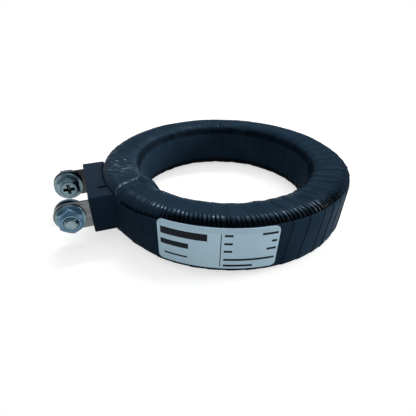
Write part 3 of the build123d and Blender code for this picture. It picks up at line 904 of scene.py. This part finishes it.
WHITE, BLACK = (1.0, 1.0, 1.0), (0.0, 0.0, 0.0)
AMBIENT = (0.52, 0.52, 0.52)         # the room's light on dull surfaces
CEILING = (0.34, 0.42, 0.48)         # what glossy surfaces see overhead,
CEILING_START = (0.05, 0.35)         # and how steeply up a ray goes where it starts and is full
PAPER_SEEN = (0.55, 0.55, 0.55)      # the paper's colour to the eye, which a shadow darkens
PAPER_GLOW = (0.64, 0.64, 0.64)      # light of its own, which keeps that shadow pale
PAPER_UNSEEN = (0.40, 0.40, 0.40)    # its colour as it lights the object
UNDER_GLOW = (0.60, 0.60, 0.60)      # light of its own for the underside, between these two edges
UNDER_EDGES = [(0.045, 0.048), (0.061, 0.058)]
PAPER_TO_WHITE = (0.09, 0.22)        # distance over which the paper turns plain white
PAPER_HALF, PAPER_DROP = 3.0, 0.0002     # half its width, and how far it lies below the part

# The place of the camera, the directions to its right and its top, and its lens.
CAMERA_AT = (0.064698, 0.140066, 0.079232)
CAMERA_RIGHT = (-0.94558, 0.32537, -0.00379)
CAMERA_UP = (-0.19594, -0.5601, 0.80493)
CAMERA_LENS_MM, CAMERA_SENSOR_MM = 27.652, 36.0
CAMERA_SHIFT = (0.03715, 0.04859)


def smooth_step(tree, source, start, end):
    return tree.map(source, 0.0, 1.0, start, end, interpolation="SMOOTHSTEP")


def seen_by_eye(tree):
    """1 for camera, glossy and transmission rays."""
    rays = tree.add("ShaderNodeLightPath").outputs
    return tree.strongest(*[rays[f"Is {kind} Ray"] for kind in ("Camera", "Glossy", "Transmission")])


def set_world():
    """A white sweep all round under a dim ceiling; its light on the object is plain and even."""
    world = bpy.data.worlds.new("studio")
    bpy.context.scene.world = world
    world.use_nodes = True
    n = Tree(world.node_tree)
    up = n.split(n.add("ShaderNodeTexCoord").outputs["Generated"])["Z"]
    room = n.mix(smooth_step(n, up, *CEILING_START), WHITE, CEILING)
    room = n.mix(n.add("ShaderNodeLightPath").outputs["Is Camera Ray"], room, WHITE)
    n.feed(n.tree.nodes["Background"], "Color", n.mix(seen_by_eye(n), AMBIENT, room))


def paper_material():
    """White paper: it keeps a pale shadow round the object, and is plain white farther out."""
    material = bpy.data.materials.new("floor_paper")
    material.use_nodes = True
    n = Tree(material.node_tree)
    n.tree.nodes.clear()

    def shader(kind, *inputs):
        return n.add(f"ShaderNode{kind}", enumerate(inputs)).outputs[0]

    seen = seen_by_eye(n)
    geometry = n.add("ShaderNodeNewGeometry").outputs
    length = n.add("ShaderNodeVectorMath", [(0, geometry["Position"])], operation="LENGTH")
    distance = length.outputs["Value"]
    under = n.product(*[smooth_step(n, distance, *edge) for edge in UNDER_EDGES])
    glow = n.mix(seen, n.mix(under, BLACK, UNDER_GLOW), PAPER_GLOW)
    near = shader("AddShader", shader("BsdfDiffuse", n.mix(seen, PAPER_UNSEEN, PAPER_SEEN)),
                  shader("Emission", glow))
    far = n.product(smooth_step(n, distance, *PAPER_TO_WHITE), seen)
    above = shader("MixShader", far, near, shader("Emission", WHITE))
    both = shader("MixShader", geometry["Backfacing"], above, shader("BsdfTransparent"))
    n.add("ShaderNodeOutputMaterial", [("Surface", both)])
    return material


def make_floor():
    z = cad_lo.z - PAPER_DROP
    corners = [(x * PAPER_HALF, y * PAPER_HALF, z) for x, y in ((-1, -1), (1, -1), (1, 1), (-1, 1))]
    mesh = bpy.data.meshes.new("floor")
    mesh.from_pydata(corners, [], [(0, 1, 2, 3)])
    mesh.materials.append(paper_material())
    floor = bpy.data.objects.new("floor", mesh)
    bpy.context.scene.collection.objects.link(floor)


def add_lamp(name, at, size, power, target=(0, 0, 0)):
    data = bpy.data.lights.new(name, "AREA")
    data.shape = "RECTANGLE"
    data.size, data.size_y = size
    data.energy = power
    lamp = bpy.data.objects.new(name, data)
    lamp.location = at
    lamp.rotation_euler = (Vector(target) - Vector(at)).to_track_quat("-Z", "Y").to_euler()
    bpy.context.scene.collection.objects.link(lamp)


def add_camera():
    data = bpy.data.cameras.new("camera")
    data.sensor_width, data.lens = CAMERA_SENSOR_MM, CAMERA_LENS_MM
    data.shift_x, data.shift_y = CAMERA_SHIFT
    camera = bpy.data.objects.new("camera", data)
    right, up = Vector(CAMERA_RIGHT), Vector(CAMERA_UP)
    turn = Matrix((right, up, right.cross(up))).transposed().to_4x4()
    camera.matrix_world = Matrix.Translation(CAMERA_AT) @ turn
    bpy.context.scene.collection.objects.link(camera)
    bpy.context.scene.camera = camera


# =============================== the scene ===============================

def dress(node, material):
    slots = frame["nodes"][node].data.materials
    slots.clear()
    slots.append(material)


add_camera()
set_world()
make_floor()
add_lamp("overhead", at=(-0.02, -0.02, 0.60), size=(0.30, 0.30), power=0.3)
add_lamp("long_window", at=(-0.28, -0.26, 0.50), size=(0.60, 0.09), power=2.4, target=(-0.28, 0.0, 0.0))
add_lamp("side_fill", at=(-0.60, 0.15, 0.15), size=(0.25, 0.25), power=4.5)

wrapped_ring()
root_patch()
label_print()

for node, material in {
    "rating_label": label_material, "terminal_block": block_material, "core": steel_material,
    "core_end_ring_upper": nylon_material, "core_end_ring_lower": nylon_material,
    "core_tape": insulation_material, "winding_tape": tape_material,
    "secondary_winding": copper_material,
}.items():
    dress(node, material())
for side in "ab":
    for node, material in {
        "terminal_strap": strap_material, "terminal_screw": screw_material, "head_washer": zinc_material,
        "spring_washer": zinc_material, "nut_washer": zinc_material, "terminal_nut": nut_material,
        "lead": copper_material, "lead_sleeve": sleeve_material,
    }.items():
        dress(f"{node}_{side}", material())

bpy.context.scene.view_settings.view_transform = "Standard"
